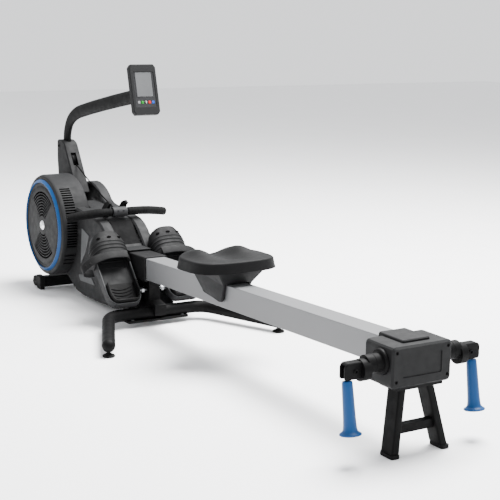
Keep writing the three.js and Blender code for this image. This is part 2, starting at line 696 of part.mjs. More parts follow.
function addHandlebar() {
  const { x, z, half, radius, grip } = BAR;
  const route = (from, to, count) => {
    const out = [];
    for (let i = 0; i <= count; i += 1) {
      const y = from + ((to - from) * i) / count;
      const share = Math.max(0, (Math.abs(y) - 60) / (half - 60));
      out.push(vec(x - 26 * share * share, y, z - 17 * share * share));
    }
    return out;
  };
  add("handlebar", pipe(route(-half + 4, half - 4, 16), radius, 12, 18), BLACK);
  for (const [side, sign] of SIDES) {
    const sleeve = pipe(route(24 * sign, half * sign, 8), grip, 12, 6);
    const core = pipe(route(14 * sign, (half - 3.6) * sign, 8), radius + 0.6, 12, 6);
    add(side + "_bar_grip", cut(sleeve, core), RUBBER);
  }
  const lug = block(x - 34, x - 10, -9, 9, z - 6, z + 12);
  const bore = disc(radius + GAP, -40, 40, x, z, 24);
  add("bar_clamp", cut(join(disc(20.5, -21, 21, x, z, 24), lug), bore), LIGHT_GREY);
  const hook = [
    [-774, 376], [-706, 370.5], [-698, 398], [-690, 416], [-672, 430], [-690, 439], [-720, 430],
    [-750, 404],
  ];
  const hooks = [-1, 1].map((sign) => plate(hook, sign * 37 - 6, sign * 37 + 6, 2));
  const bridge = block(-765, -725, -34, 34, 376, 386);
  add("handle_hooks", join(...hooks, bridge), BLACK);
  const cord = CORD_ROUTE.map(([cx, cz]) => vec(cx, 0, cz));
  add("handle_cord", pipe(cord, CORD_RADIUS, 8, 28), CORD);
}

// ---------------------------------------------------------------- console
function addConsole() {
  const arm = MAST_ARM.route.map(([x, z]) => vec(x, 0, z));
  const tube = pipe(arm, MAST_ARM.across, 14, 20, MAST_ARM.deep);
  add("console_arm", tube, BLACK);
  const frame = new THREE.Group();
  frame.position.set(CONSOLE.x, 0, CONSOLE.z);
  frame.rotation.y = THREE.MathUtils.degToRad(-CONSOLE.lean);
  machine.add(frame);
  const { width, height, depth, screenZ, keyZ, armZ } = CONSOLE;
  const w = width / 2;
  const h = height / 2;
  const face = [
    [-w + 9, -h], [w - 9, -h], [w, -h + 12], [w, h - 12], [w - 9, h], [-w + 9, h], [-w, h - 12],
    [-w, -h + 12],
  ];
  const shifted = (outline, y, z) => outline.map(([u, v]) => [u + y, v + z]);
  const casing = beam(face, -depth, 0, 3);
  const window = beam(shifted(rectangle(88, 138, 3), 0, 0), -2.5, 5);
  const recess = beam(shifted(rectangle(68, 94, 2), 0, screenZ), -5, 5);
  const spots = CONSOLE.keys.map(([, , y]) => y);
  const pockets = spots.map((y) => beam(shifted(rectangle(11.6, 11.6, 2, 2), y, keyZ), -9, 5));
  const neck = block(-depth - 54, -depth + 1, -22, 22, armZ - 39, armZ + 39);
  const cheek = MAST_ARM.across + 1;
  const socket = block(-depth - 80, -depth - 5, -cheek, cheek, armZ - 34, armZ + 34);
  const body = cut(join(casing, neck), window, recess, socket, ...pockets);
  add("console_case", body, CHARCOAL, frame);
  const glass = beam(shifted(rectangle(67.4, 93.4, 2), 0, screenZ), -5 + GAP, -2.2);
  add("console_screen", glass, LIGHT_GREY, frame);
  for (const [name, color, y] of CONSOLE.keys) {
    const key = beam(shifted(rectangle(11, 11, 3, 2), y, keyZ), -6.5, -0.8);
    add(name, key, [color, 0.5], frame);
  }
}

addRail();
addFan();
addFrame();
addCovers();
addMast();
addStabilisers();
addRear();
addSeat();
addFootrests();
addHandlebar();
addConsole();

export default machine;
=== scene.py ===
"""Looks of the rowing machine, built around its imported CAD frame. Metres, +X to the rear,
+Y to the rower's right, +Z up, floor at z = 0."""

import json
from math import atan, cos, exp, pi, radians, sin

import bmesh
import bpy
from mathutils import Matrix, Vector

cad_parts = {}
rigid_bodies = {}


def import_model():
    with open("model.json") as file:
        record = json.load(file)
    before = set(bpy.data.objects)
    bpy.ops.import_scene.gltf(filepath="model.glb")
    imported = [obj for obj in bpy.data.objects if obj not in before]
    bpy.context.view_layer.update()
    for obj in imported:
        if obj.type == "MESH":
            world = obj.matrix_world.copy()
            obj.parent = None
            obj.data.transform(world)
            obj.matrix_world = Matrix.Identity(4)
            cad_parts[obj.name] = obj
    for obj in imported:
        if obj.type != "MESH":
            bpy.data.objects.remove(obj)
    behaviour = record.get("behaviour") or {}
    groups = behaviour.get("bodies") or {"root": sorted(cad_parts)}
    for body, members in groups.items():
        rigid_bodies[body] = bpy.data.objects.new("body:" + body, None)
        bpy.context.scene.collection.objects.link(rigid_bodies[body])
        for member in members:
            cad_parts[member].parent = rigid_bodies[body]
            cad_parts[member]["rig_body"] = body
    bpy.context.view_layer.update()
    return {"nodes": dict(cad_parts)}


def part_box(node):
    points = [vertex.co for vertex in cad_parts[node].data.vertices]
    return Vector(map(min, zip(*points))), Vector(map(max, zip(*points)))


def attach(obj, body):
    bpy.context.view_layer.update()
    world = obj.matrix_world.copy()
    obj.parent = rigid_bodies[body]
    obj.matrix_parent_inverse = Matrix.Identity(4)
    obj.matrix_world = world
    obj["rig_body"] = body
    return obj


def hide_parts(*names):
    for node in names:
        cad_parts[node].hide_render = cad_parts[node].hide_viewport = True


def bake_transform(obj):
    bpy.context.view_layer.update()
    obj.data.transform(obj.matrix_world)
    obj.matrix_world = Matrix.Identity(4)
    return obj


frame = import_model()
SIDES = (("left", -1), ("right", 1))

# ---------------------------------------------------------------- driving sizes
# SHIFT, FAN and the trays' y are worked out from the frame. The rest are typed in, most of
# them with part.mjs's values.
MM = 0.001
FAN_LOW, FAN_HIGH = (Vector(corner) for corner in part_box("fan_housing"))
TRAY_LOW, TRAY_HIGH = (Vector(corner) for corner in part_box("right_footplate"))
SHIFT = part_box("rear_housing")[1][0] - 1280 * MM
FAN = {"x": (FAN_LOW.x + FAN_HIGH.x) / 2, "z": (FAN_LOW.z + FAN_HIGH.z) / 2, "front": FAN_LOW.y}
FOOT = {"heel_x": -352 * MM + SHIFT, "heel_z": 107 * MM, "y": (TRAY_LOW.y + TRAY_HIGH.y) / 2,
        "half": 73 * MM, "angle": 47.5}
SEAT = {"x": 206 * MM, "half_width": 164 * MM, "half_depth": 130 * MM, "rim": 128 * MM, "thick": 38 * MM}
BAR = {"x": -675 * MM + SHIFT, "z": 395 * MM, "half": 219 * MM, "radius": 14 * MM, "grip": 18 * MM}
SKI = {"x": 1232 * MM + SHIFT, "y": 219 * MM, "top": 229 * MM, "length": 149 * MM, "lean": 9}

FACE_PROUD = 3 * MM          # the rim of the grille's face stands this far past the fan housing
CORD_RADIUS = 2.5 * MM
GRIP_START = 36.5 * MM       # from the bar's middle
CLAMP_STRETCH = 1.45         # widens the clamp along the bar, to 6 mm short of each grip
KEY_PITCH, KEY_DROP = 15 * MM, 50 * MM

RAIL_FRAME = Matrix.Translation((SHIFT, 0, 231 * MM)) @ Matrix.Rotation(-atan(0.032), 4, "Y")
CONSOLE = Matrix.Translation((-431 * MM + SHIFT, 0, 906 * MM)) @ Matrix.Rotation(-radians(15), 4, "Y")


def foot_frame(sign):
    """+X runs from heel to toe and -Z is the side that the sole stands on."""
    place = Matrix.Translation((FOOT["heel_x"], sign * FOOT["y"], FOOT["heel_z"]))
    return place @ Matrix.Rotation(radians(180 + FOOT["angle"]), 4, "Y")


# ---------------------------------------------------------------- camera, floor and light
def add_camera():
    azimuth, elevation, roll = radians(58.73), radians(11.075), radians(0.747)
    back = Vector((sin(azimuth) * cos(elevation), -cos(azimuth) * cos(elevation), sin(elevation)))
    right = (-back).cross(Vector((0, 0, 1))).normalized()
    up = right.cross(-back)
    turned_right = right * cos(roll) + up * sin(roll)
    turned_up = up * cos(roll) - right * sin(roll)
    data = bpy.data.cameras.new("camera")
    data.sensor_width = 36
    data.lens = 86.08
    data.clip_end = 60
    camera = bpy.data.objects.new("camera", data)
    camera.matrix_world = Matrix.Translation((3.729 + SHIFT, -2.0455, 1.187)) @ Matrix(
        (turned_right, turned_up, back)
    ).transposed().to_4x4()
    bpy.context.scene.collection.objects.link(camera)
    bpy.context.scene.camera = camera


def add_light(name, place, target, size, power):
    data = bpy.data.lights.new(name, "AREA")
    data.shape = "DISK"
    data.size = size
    data.energy = power
    light = bpy.data.objects.new(name, data)
    light.location = place
    aim = Vector(target) - Vector(place)
    light.rotation_euler = aim.to_track_quat("-Z", "Y").to_euler()
    bpy.context.scene.collection.objects.link(light)


def add_studio():
    world = bpy.data.worlds.new("studio")
    world.use_nodes = True
    background = world.node_tree.nodes["Background"]
    background.inputs["Color"].default_value = (0.97, 0.98, 1.0, 1)
    background.inputs["Strength"].default_value = 1.45
    bpy.context.scene.world = world
    corners = [(-14, -14, 0), (14, -14, 0), (14, 14, 0), (-14, 14, 0)]
    floor = build("floor", corners, [(0, 1, 2, 3)], "floor")
    add_light("key", (-0.2, 1.6, 4.4), (0, 0, 0.2), 3.2, 1400)
    add_light("left_fill", (-1.5, -4.0, 1.6), (-0.6, 0, 0.4), 2.4, 8)
    add_light("rear_fill", (4.4, 1.6, 2.2), (0.6, 0, 0.3), 2.0, 22)


# ---------------------------------------------------------------- materials
MATERIALS = {}


class Graph:
    """A small helper that adds shader nodes and joins them."""

    def __init__(self, name):
        self.material = bpy.data.materials.new(name)
        self.material.use_nodes = True
        self.nodes = self.material.node_tree.nodes
        self.links = self.material.node_tree.links
        self.surface = self.nodes["Principled BSDF"]
        self.where = self.nodes.new("ShaderNodeTexCoord").outputs["Object"]

    def stretched(self, scale):
        mapping = self.nodes.new("ShaderNodeMapping")
        mapping.inputs["Scale"].default_value = scale
        self.links.new(self.where, mapping.inputs["Vector"])
        return mapping.outputs["Vector"]

    def noise(self, scale, detail=3, where=None):
        node = self.nodes.new("ShaderNodeTexNoise")
        node.inputs["Scale"].default_value = scale
        node.inputs["Detail"].default_value = detail
        self.links.new(where or self.where, node.inputs["Vector"])
        return node.outputs["Fac"]

    def cells(self, scale):
        node = self.nodes.new("ShaderNodeTexVoronoi")
        node.inputs["Scale"].default_value = scale
        self.links.new(self.where, node.inputs["Vector"])
        return node.outputs["Distance"]

    def waves(self, scale, direction, distortion=0.0, where=None):
        node = self.nodes.new("ShaderNodeTexWave")
        node.bands_direction = direction
        node.inputs["Scale"].default_value = scale
        node.inputs["Distortion"].default_value = distortion
        self.links.new(where or self.where, node.inputs["Vector"])
        return node.outputs["Fac"]

    def spread(self, value, low, high, out_low, out_high):
        node = self.nodes.new("ShaderNodeMapRange")
        sockets = ("From Min", "From Max", "To Min", "To Max")
        for socket, number in zip(sockets, (low, high, out_low, out_high)):
            node.inputs[socket].default_value = number
        self.links.new(value, node.inputs["Value"])
        return node.outputs["Result"]

    def mix(self, share, a, b):
        node = self.nodes.new("ShaderNodeMix")
        node.data_type = "RGBA"
        sockets = [s for s in node.inputs if s.type == "RGBA"]
        self.links.new(share, node.inputs[0])
        for socket, value in zip(sockets, (a, b)):
            if hasattr(value, "is_output"):
                self.links.new(value, socket)
            else:
                socket.default_value = (*value, 1)
        return [s for s in node.outputs if s.type == "RGBA"][0]

    def edges(self):
        return self.nodes.new("ShaderNodeNewGeometry").outputs["Pointiness"]

    def bump(self, height, strength, distance=0.0004):
        node = self.nodes.new("ShaderNodeBump")
        node.inputs["Strength"].default_value = strength
        node.inputs["Distance"].default_value = distance
        self.links.new(height, node.inputs["Height"])
        before = self.surface.inputs["Normal"].links
        if before:
            self.links.new(before[0].from_socket, node.inputs["Normal"])
        self.links.new(node.outputs["Normal"], self.surface.inputs["Normal"])

    def to(self, socket, value):
        self.links.new(value, self.surface.inputs[socket])


def tint(colour, factor):
    return tuple(min(1.0, c * factor) for c in colour)


def grained(name, colour, rough, grain=950, depth=0.35, wear=1.5, shine=0.12, blotch=9):
    """Moulded or painted skin: fine grain, slow tone changes, uneven sheen and paler worn edges."""
    g = Graph(name)
    tone = g.mix(g.spread(g.noise(blotch, 5), 0.3, 0.7, 0, 1), tint(colour, 0.94), tint(colour, 1.06))
    speck = g.mix(g.spread(g.noise(grain, 2), 0.35, 0.75, 0, 1), tone, tint(colour, 1.15))
    worn = g.mix(g.spread(g.edges(), 0.515, 0.57, 0, 1), speck, tint(colour, wear))
    g.to("Base Color", worn)
    g.to("Roughness", g.spread(g.noise(38, 4), 0.3, 0.7, rough - 0.07, rough + 0.07))
    g.surface.inputs["Specular IOR Level"].default_value = shine
    g.bump(g.noise(grain, 3), depth)
    return g.material


def brushed(name, colour, rough, stretch, metal=1.0):
    """Metal with fine lines, drawn out along the axis where stretch is lowest."""
    g = Graph(name)
    lines = g.noise(1, 4, g.stretched(stretch))
    tone = g.mix(g.spread(lines, 0.3, 0.7, 0, 1), tint(colour, 0.9), tint(colour, 1.06))
    g.to("Base Color", g.mix(g.spread(g.noise(6, 5), 0.35, 0.7, 0, 0.5), tone, tint(colour, 0.9)))
    g.to("Roughness", g.spread(lines, 0.3, 0.7, rough - 0.06, rough + 0.08))
    g.surface.inputs["Metallic"].default_value = metal
    g.bump(lines, 0.12, 0.0002)
    return g.material


def pebbled(name, colour, rough, cell=520):
    """Moulded foam or rubber skin with a pebbled grain."""
    g = Graph(name)
    pebble = g.cells(cell)
    tone = g.mix(g.spread(g.noise(9, 5), 0.3, 0.7, 0, 1), tint(colour, 0.82), tint(colour, 1.2))
    g.to("Base Color", g.mix(g.spread(pebble, 0.1, 0.7, 0, 0.6), tone, tint(colour, 0.7)))
    g.to("Roughness", g.spread(g.noise(26, 4), 0.3, 0.7, rough - 0.08, rough + 0.08))
    g.surface.inputs["Specular IOR Level"].default_value = 0.1
    g.bump(pebble, 0.4, 0.0005)
    g.bump(g.noise(1500, 2), 0.2, 0.0002)
    return g.material


def braided(name, colour):
    """Fine diagonal plait of a cord's cover."""
    g = Graph(name)
    one = g.waves(260, "DIAGONAL", 1.0)
    other = g.waves(240, "Z", 1.0)
    plait = g.mix(one, tint(colour, 0.6), tint(colour, 2.2))
    g.to("Base Color", g.mix(other, plait, colour))
    g.surface.inputs["Specular IOR Level"].default_value = 0.0
    g.surface.inputs["Roughness"].default_value = 1.0
    g.bump(one, 0.2, 0.0002)
    g.bump(other, 0.2, 0.0002)
    return g.material


def panel_glass(name, colour):
    """A grey display window with faint rows under its face."""
    g = Graph(name)
    rows = g.waves(120, "Z")
    tone = g.mix(g.spread(g.noise(11, 3), 0.3, 0.7, 0, 1), tint(colour, 0.93), tint(colour, 1.08))
    g.to("Base Color", g.mix(g.spread(rows, 0, 1, 0, 0.25), tone, tint(colour, 0.85)))
    g.to("Roughness", g.spread(g.noise(60, 3), 0.3, 0.7, 0.12, 0.22))
    return g.material


def floor_finish():
    g = Graph("floor")
    g.to("Base Color", g.mix(g.noise(3, 3), (0.86, 0.86, 0.865), (0.9, 0.9, 0.9)))
    g.surface.inputs["Roughness"].default_value = 0.7
    return g.material


def make_materials():
    MATERIALS.update({
        "floor": floor_finish(),
        "charcoal": grained("charcoal", (0.0068, 0.0069, 0.0072), 0.66),
        "tray": grained("tray", (0.0062, 0.0063, 0.0066), 0.62, wear=5),
        # painted highlight: pale grey for the bead along the trays' top edge
        "rim": grained("rim", (0.040, 0.041, 0.042), 0.5),
        "shroud": grained("shroud", (0.0070, 0.0071, 0.0074), 0.64, wear=2.2),
        # painted shade: near-black for the insides of the grille's and the straps' slots
        "painted_shade": grained("painted_shade", (0.0008, 0.0008, 0.0008), 0.9, shine=0.02),
        "collar": grained("collar", (0.0040, 0.0040, 0.0042), 0.64),
        # painted shade: far darker than the charcoal cover, for the panel in the centre cover's valley
        "painted_valley_shade": grained("painted_valley_shade", (0.0016, 0.0016, 0.0017), 0.75, shine=0.05),
        "black": grained("black_paint", (0.0020, 0.0020, 0.0021), 0.6, grain=1500, depth=0.2, shine=0.06),
        "black_plastic": grained("black_plastic", (0.0020, 0.0020, 0.0021), 0.6, shine=0.06),
        "rubber": pebbled("rubber", (0.0032, 0.0032, 0.0033), 0.7, 900),
        "strap": pebbled("strap", (0.0046, 0.0046, 0.0048), 0.62, 1100),
        "foam": pebbled("seat_skin", (0.0024, 0.00245, 0.0026), 0.62),
        "grip": pebbled("grip_foam", (0.0024, 0.0024, 0.0025), 0.85, 700),
        "light_grey": grained("light_grey", (0.046, 0.047, 0.048), 0.65),
        "grey": grained("grey_plastic", (0.0130, 0.0132, 0.0138), 0.6),
        "blue": grained("blue_plastic", (0.0008, 0.034, 0.118), 0.42, wear=1.15, shine=0.2),
        "aluminium": brushed("aluminium", (0.102, 0.1035, 0.1065), 0.5, (5, 1400, 1400), metal=0.12),
        "steel": brushed("steel", (0.20, 0.205, 0.21), 0.34, (700, 60, 700)),
        "chrome": brushed("chrome", (0.80, 0.81, 0.82), 0.16, (400, 400, 400)),
        "cord": braided("cord", (0.0025, 0.0025, 0.0026)),
        "gloss_black": grained("gloss_black", (0.008, 0.008, 0.009), 0.16, depth=0.05, wear=1.2, shine=0.5),
        "screen": panel_glass("screen", (0.075, 0.077, 0.079)),
        "menu": grained("menu_key", (0.12, 0.12, 0.122), 0.35, depth=0.1),
        "start": grained("start_key", (0.0035, 0.13, 0.010), 0.35, depth=0.1),
        "arrow": grained("arrow_key", (0.30, 0.30, 0.30), 0.35, depth=0.1),
        "stop": grained("stop_key", (0.30, 0.006, 0.005), 0.35, depth=0.1),
        "display": grained("display_key", (0.006, 0.045, 0.26), 0.35, depth=0.1),
    })


# ---------------------------------------------------------------- mesh helpers
def build(name, verts, faces, look, smooth=35, place=None):
    """A mesh piece with outward normals, smooth where its faces meet below an angle."""
    mesh = bpy.data.meshes.new(name)
    mesh.from_pydata([tuple(v) for v in verts], [], faces)
    bm = bmesh.new()
    bm.from_mesh(mesh)
    bmesh.ops.remove_doubles(bm, verts=bm.verts, dist=1e-6)
    bmesh.ops.recalc_face_normals(bm, faces=bm.faces)
    bm.to_mesh(mesh)
    bm.free()
    if place is not None:
        mesh.transform(place)
        if place.determinant() < 0:
            mesh.flip_normals()
    mesh.shade_smooth()
    mesh.set_sharp_from_angle(angle=radians(smooth))
    mesh.materials.append(MATERIALS[look])
    piece = bpy.data.objects.new(name, mesh)
    bpy.context.scene.collection.objects.link(piece)
    return piece


def eased(piece, width, segments=2, angle=32):
    """Rounds a piece's edges."""
    bevel = piece.modifiers.new("eased", "BEVEL")
    bevel.width = width
    bevel.segments = segments
    bevel.limit_method = "ANGLE"
    bevel.angle_limit = radians(angle)
    bevel.harden_normals = False
    piece.data.shade_smooth()
    weighted = piece.modifiers.new("weighted", "WEIGHTED_NORMAL")
    weighted.keep_sharp = True
    return piece


def skinned(node, look, width=0.0015, segments=2, smooth=40):
    """A CAD node's shape with eased edges and a proper finish, standing for that node."""
    source = frame["nodes"][node].data
    bm = bmesh.new()
    bm.from_mesh(source)
    bmesh.ops.remove_doubles(bm, verts=bm.verts, dist=2e-5)
    bmesh.ops.dissolve_limit(bm, angle_limit=radians(1.2), verts=bm.verts, edges=bm.edges)
    verts = [v.co.copy() for v in bm.verts]
    faces = [[v.index for v in f.verts] for f in bm.faces]
    bm.free()
    piece = build(node + "_skin", verts, faces, look, smooth)
    eased(piece, width, segments)
    return stand_for(piece, node)


def stand_for(piece, node):
    """The piece rides where the CAD node does and is shown instead of it."""
    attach(piece, frame["nodes"][node]["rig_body"])
    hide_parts(node)
    return piece


def detail(piece, body, finish):
    """The piece rides on a body as an addition to the CAD."""
    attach(piece, body)
    return piece


def lathe(name, profile, look, place, sides=64, smooth=35):
    """Turns (radius, height) points about Z. An open profile that ends off the axis is capped there."""
    verts, faces = [], []
    for r, h in profile:
        verts += [(r * cos(2 * pi * i / sides), r * sin(2 * pi * i / sides), h) for i in range(sides)]
    for k in range(len(profile) - 1):
        for i in range(sides):
            j = (i + 1) % sides
            faces.append((k * sides + i, k * sides + j, (k + 1) * sides + j, (k + 1) * sides + i))
    for k in (0, len(profile) - 1):
        if profile[k][0] > 1e-6 and profile[0] != profile[-1]:
            faces.append(tuple(k * sides + i for i in range(sides)))
    return build(name, verts, faces, look, smooth, place)


def along(axis, centre):
    """Puts local Z on an axis, at a centre."""
    turn = Vector((0, 0, 1)).rotation_difference(Vector(axis)).to_matrix().to_4x4()
    return Matrix.Translation(centre) @ turn


def curve_points(points, count):
    """Evenly counted points on a smooth curve through the given ones."""
    pts = [Vector(p) for p in points]
    out = []
    for n in range(count + 1):
        at = n / count * (len(pts) - 1)
        k = min(int(at), len(pts) - 2)
        t = at - k
        p0, p1, p2, p3 = (pts[max(0, min(len(pts) - 1, k + d))] for d in (-1, 0, 1, 2))
        out.append(0.5 * (
            2 * p1 + (p2 - p0) * t + (2 * p0 - 5 * p1 + 4 * p2 - p3) * t ** 2
            + (3 * p1 - p0 - 3 * p2 + p3) * t ** 3
        ))
    return out


def swept(name, path, radius, look, sides=28, across=None, up=(0, 0, 1), smooth=40):
    """A tube along a path. radius may be a function of the share of its length."""
    verts, faces = [], []
    last = len(path) - 1
    size = radius if callable(radius) else lambda share: radius
    for n, point in enumerate(path):
        tangent = (path[min(n + 1, last)] - path[max(n - 1, 0)]).normalized()
        side = tangent.cross(Vector(up)).normalized()
        rise = side.cross(tangent)
        r = size(n / last)
        wide = across if across else r
        for i in range(sides):
            a = 2 * pi * i / sides
            verts.append(point + side * wide * cos(a) + rise * r * sin(a))
    for n in range(last):
        for i in range(sides):
            j = (i + 1) % sides
            faces.append((n * sides + i, n * sides + j, (n + 1) * sides + j, (n + 1) * sides + i))
    faces.append(tuple(range(sides)))
    faces.append(tuple(last * sides + i for i in range(sides)))
    return build(name, verts, faces, look, smooth)


def prism(name, outline, low, high, look, place=None, ease=0.0006):
    """An outline in the local XY plane made solid from low to high."""
    n = len(outline)
    verts = [(u, v, low) for u, v in outline] + [(u, v, high) for u, v in outline]
    faces = [tuple(range(n)), tuple(range(n, 2 * n))]
    faces += [(i, (i + 1) % n, n + (i + 1) % n, n + i) for i in range(n)]
    piece = build(name, verts, faces, look, 35, place)
    return eased(piece, ease)


def rounded(points, radius, steps=5):
    """An outline with its corners turned into arcs."""
    out = []
    for i, point in enumerate(points):
        here, before, after = Vector(point), Vector(points[i - 1]), Vector(points[(i + 1) % len(points)])
        reach = min(radius, (here - before).length / 2.2, (here - after).length / 2.2)
        a = here + (before - here).normalized() * reach
        b = here + (after - here).normalized() * reach
        for k in range(steps + 1):
            t = k / steps
            out.append(tuple((1 - t) ** 2 * a + 2 * t * (1 - t) * here + t ** 2 * b))
    return out


def box_outline(width, height, radius, centre=(0, 0)):
    u, v = centre
    w, h = width / 2, height / 2
    return rounded([(u - w, v - h), (u + w, v - h), (u + w, v + h), (u - w, v + h)], radius)


def oval(width, height, count=32, centre=(0, 0)):
    return [
        (centre[0] + width / 2 * cos(2 * pi * i / count),
         centre[1] + height / 2 * sin(2 * pi * i / count))
        for i in range(count)
    ]


def screw(name, centre, axis, radius, body, finish="steel", look="steel"):
    """A pan-head screw with a round socket."""
    profile = [
        (0.0, -radius * 0.1), (radius * 0.45, -radius * 0.1), (radius * 0.5, radius * 0.35),
        (radius * 0.72, radius * 0.45), (radius * 0.95, radius * 0.25), (radius, 0.0),
        (radius, -radius * 0.4), (0.0, -radius * 0.4),
    ]
    return detail(lathe(name, profile, look, along(axis, centre), 24), body, finish)


# ---------------------------------------------------------------- fan
def add_fan():
    skinned("fan_housing", "shroud", 0.0022)
    add_grille()
    place = along((0, -1, 0), (FAN["x"], 0, FAN["z"]))
    front = -FAN["front"]
    bezel = [
        (0.1850, front - 0.009), (0.1850, front + 0.0080), (0.1856, front + 0.0096),
        (0.1872, front + 0.0100), (0.1968, front + 0.0022), (0.1977, front - 0.0002),
        (0.1977, front - 0.009), (0.1850, front - 0.009),
    ]
    stand_for(lathe("grille_ring_skin", bezel, "blue", place, 112), "grille_ring")
    cap = [
        (0.0, front + 0.0085), (0.0062, front + 0.0085), (0.0068, front + 0.0120),
        (0.0085, front + 0.0124), (0.0120, front + 0.0116), (0.0126, front + 0.0104),
        (0.0138, front + 0.0104), (0.0144, front + 0.0108), (0.0175, front + 0.0088),
        (0.021, front + 0.0052), (0.0228, front + 0.0030), (0.0228, front - 0.003), (0.0, front - 0.003),
    ]
    stand_for(lathe("hub_cap_skin", cap, "chrome", place, 56), "hub_cap")
    frame["nodes"]["fan_wheel"].data.materials[0] = MATERIALS["black_plastic"]
    frame["nodes"]["fan_bearing"].data.materials[0] = MATERIALS["steel"]
    frame["nodes"]["cord_drum"].data.materials[0] = MATERIALS["black_plastic"]


def add_grille():
    """A shallow dished face with nine curved slots above and nine below its middle."""
    slots, pitch, width, lip = 9, 0.0120, 0.0072, 0.0006
    radii = [0.0, 0.012, 0.026, 0.0275, 0.034]
    deep = [False] * len(radii)
    for k in range(slots):
        inner = 0.042 + k * pitch
        radii += [inner - lip, inner, inner + width, inner + width + lip]
        deep += [False, True, True, False]
    radii += [0.155, 0.168, 0.1695, 0.1715, 0.173, 0.184, 0.1848]
    deep += [False, False, True, True, False, False, False]
    count = 144
    reach = 44
    verts, faces = [], []
    for r, low in zip(radii, deep):
        for i in range(count):
            angle = 360 * i / count
            inside = min(abs(angle - 90), abs(angle - 270)) < reach
            depth = 0.0
            if low and 0.04 < r < 0.16 and inside:
                depth = 0.0062
            if low and r > 0.16:
                depth = 0.0012
            dome = 0.0030 * cos(pi / 2 * min(1, r / 0.185))
            a = radians(angle)
            verts.append((r * cos(a), -dome + depth, r * sin(a)))
    for k in range(len(radii) - 1):
        for i in range(count):
            j = (i + 1) % count
            faces.append((k * count + i, k * count + j, (k + 1) * count + j, (k + 1) * count + i))
    start = len(verts)
    back = 0.0082
    verts += [(x, back, z) for x, z in oval(2 * 0.1848, 2 * 0.1848, count)]
    top = (len(radii) - 1) * count
    faces += [(top + i, top + (i + 1) % count, start + (i + 1) % count, start + i) for i in range(count)]
    faces.append(tuple(start + i for i in range(count)))
    place = Matrix.Translation((FAN["x"], FAN["front"] - FACE_PROUD, FAN["z"]))
    piece = build("fan_grille_skin", verts, faces, "shroud", 40, place)
    # The slot floors and walls get a near-black colour: painted shade, so the slots read dark inside.
    piece.data.materials.append(MATERIALS["painted_shade"])
    floor_y = FAN["front"] - FACE_PROUD + 0.0018
    for polygon in piece.data.polygons:
        if polygon.center.y > floor_y and len(polygon.vertices) < 10:
            away = Vector((polygon.center.x - FAN["x"], polygon.center.z - FAN["z"])).length
            if away < 0.16:
                polygon.material_index = 1
    stand_for(piece, "fan_grille")


# ---------------------------------------------------------------- frame and covers
def add_frame():
    skinned("base_frame", "black", 0.0015)
    skinned("rail_collar", "collar", 0.002)
    skinned("rail", "aluminium", 0.0012)
    skinned("front_stabilizer", "black", 0.003, 3)
    for side in ("left", "right"):
        skinned(side + "_front_cap", "rubber", 0.003, 3)
        skinned(side + "_transport_wheel", "rubber", 0.002)
        skinned(side + "_rear_foot", "rubber", 0.0025, 3)
    skinned("rear_legs", "black", 0.003, 3)


def add_covers():
    for side, sign in SIDES:
        skinned(side + "_side_cover", "shroud", 0.004, 3, 50)
        face = sign * 0.1006
        for label, corners, radius in (
            ("upper", [(-822, 312), (-748, 290), (-786, 214), (-838, 158)], 5),
            ("lower", [(-862, 108), (-740, 124), (-696, 92), (-846, 84)], 7),
        ):
            outline = rounded([(x * MM + SHIFT, z * MM) for x, z in corners], radius * MM)
            place = Matrix(((1, 0, 0, 0), (0, 0, sign, face), (0, 1, 0, 0), (0, 0, 0, 1)))
            accent = prism(side + "_" + label + "_accent", outline, -0.0008, 0.0022, "light_grey", place)
            detail(accent, "frame", "grey_plastic")
    skinned("centre_cover", "charcoal", 0.0015)
    # A panel in the centre cover's valley, coloured far darker than the cover: painted shade, since its face
    # turns up to the key light.
    ridge = [(-572, 280.2), (-607, 308), (-662, 359.5)]
    width = 0.0475
    verts = []
    for x, z in ridge:
        for y in (-width, width):
            verts.append((x * MM + SHIFT, y, z * MM + 0.0014))
            verts.append((x * MM + SHIFT + 0.002, y, z * MM - 0.004))
    faces = [(0, 2, 6, 4), (4, 6, 10, 8), (1, 5, 7, 3), (5, 9, 11, 7), (0, 1, 3, 2), (8, 10, 11, 9),
             (0, 4, 5, 1), (4, 8, 9, 5), (2, 3, 7, 6), (6, 7, 11, 10)]
    detail(eased(build("valley_panel", verts, faces, "painted_valley_shade"), 0.0008), "frame", "charcoal_plastic")


def add_mast():
    skinned("mast", "charcoal", 0.0028, 3)
    frame["nodes"]["idler_pulley"].data.materials[0] = MATERIALS["black_plastic"]
    for label, x, z in (("low", -1206, 420), ("high", -1226, 612)):
        centre = (x * MM + SHIFT, -0.0325, z * MM)
        screw("mast_screw_" + label, centre, (0, -1, 0), 0.0052, "frame", look="black")
    route = [
        (-1208, 606), (-1208, 642), (-1198, 684), (-1164, 730), (-1095, 765), (-1000, 787), (-882, 810),
        (-704, 842), (-500, 876),
    ]
    path = curve_points([(x * MM + SHIFT, 0, z * MM) for x, z in route], 72)
    arm = swept("console_arm_skin", path, 0.0275, "black", 40, 0.014, (-1, 0, 0.3))
    stand_for(arm, "console_arm")


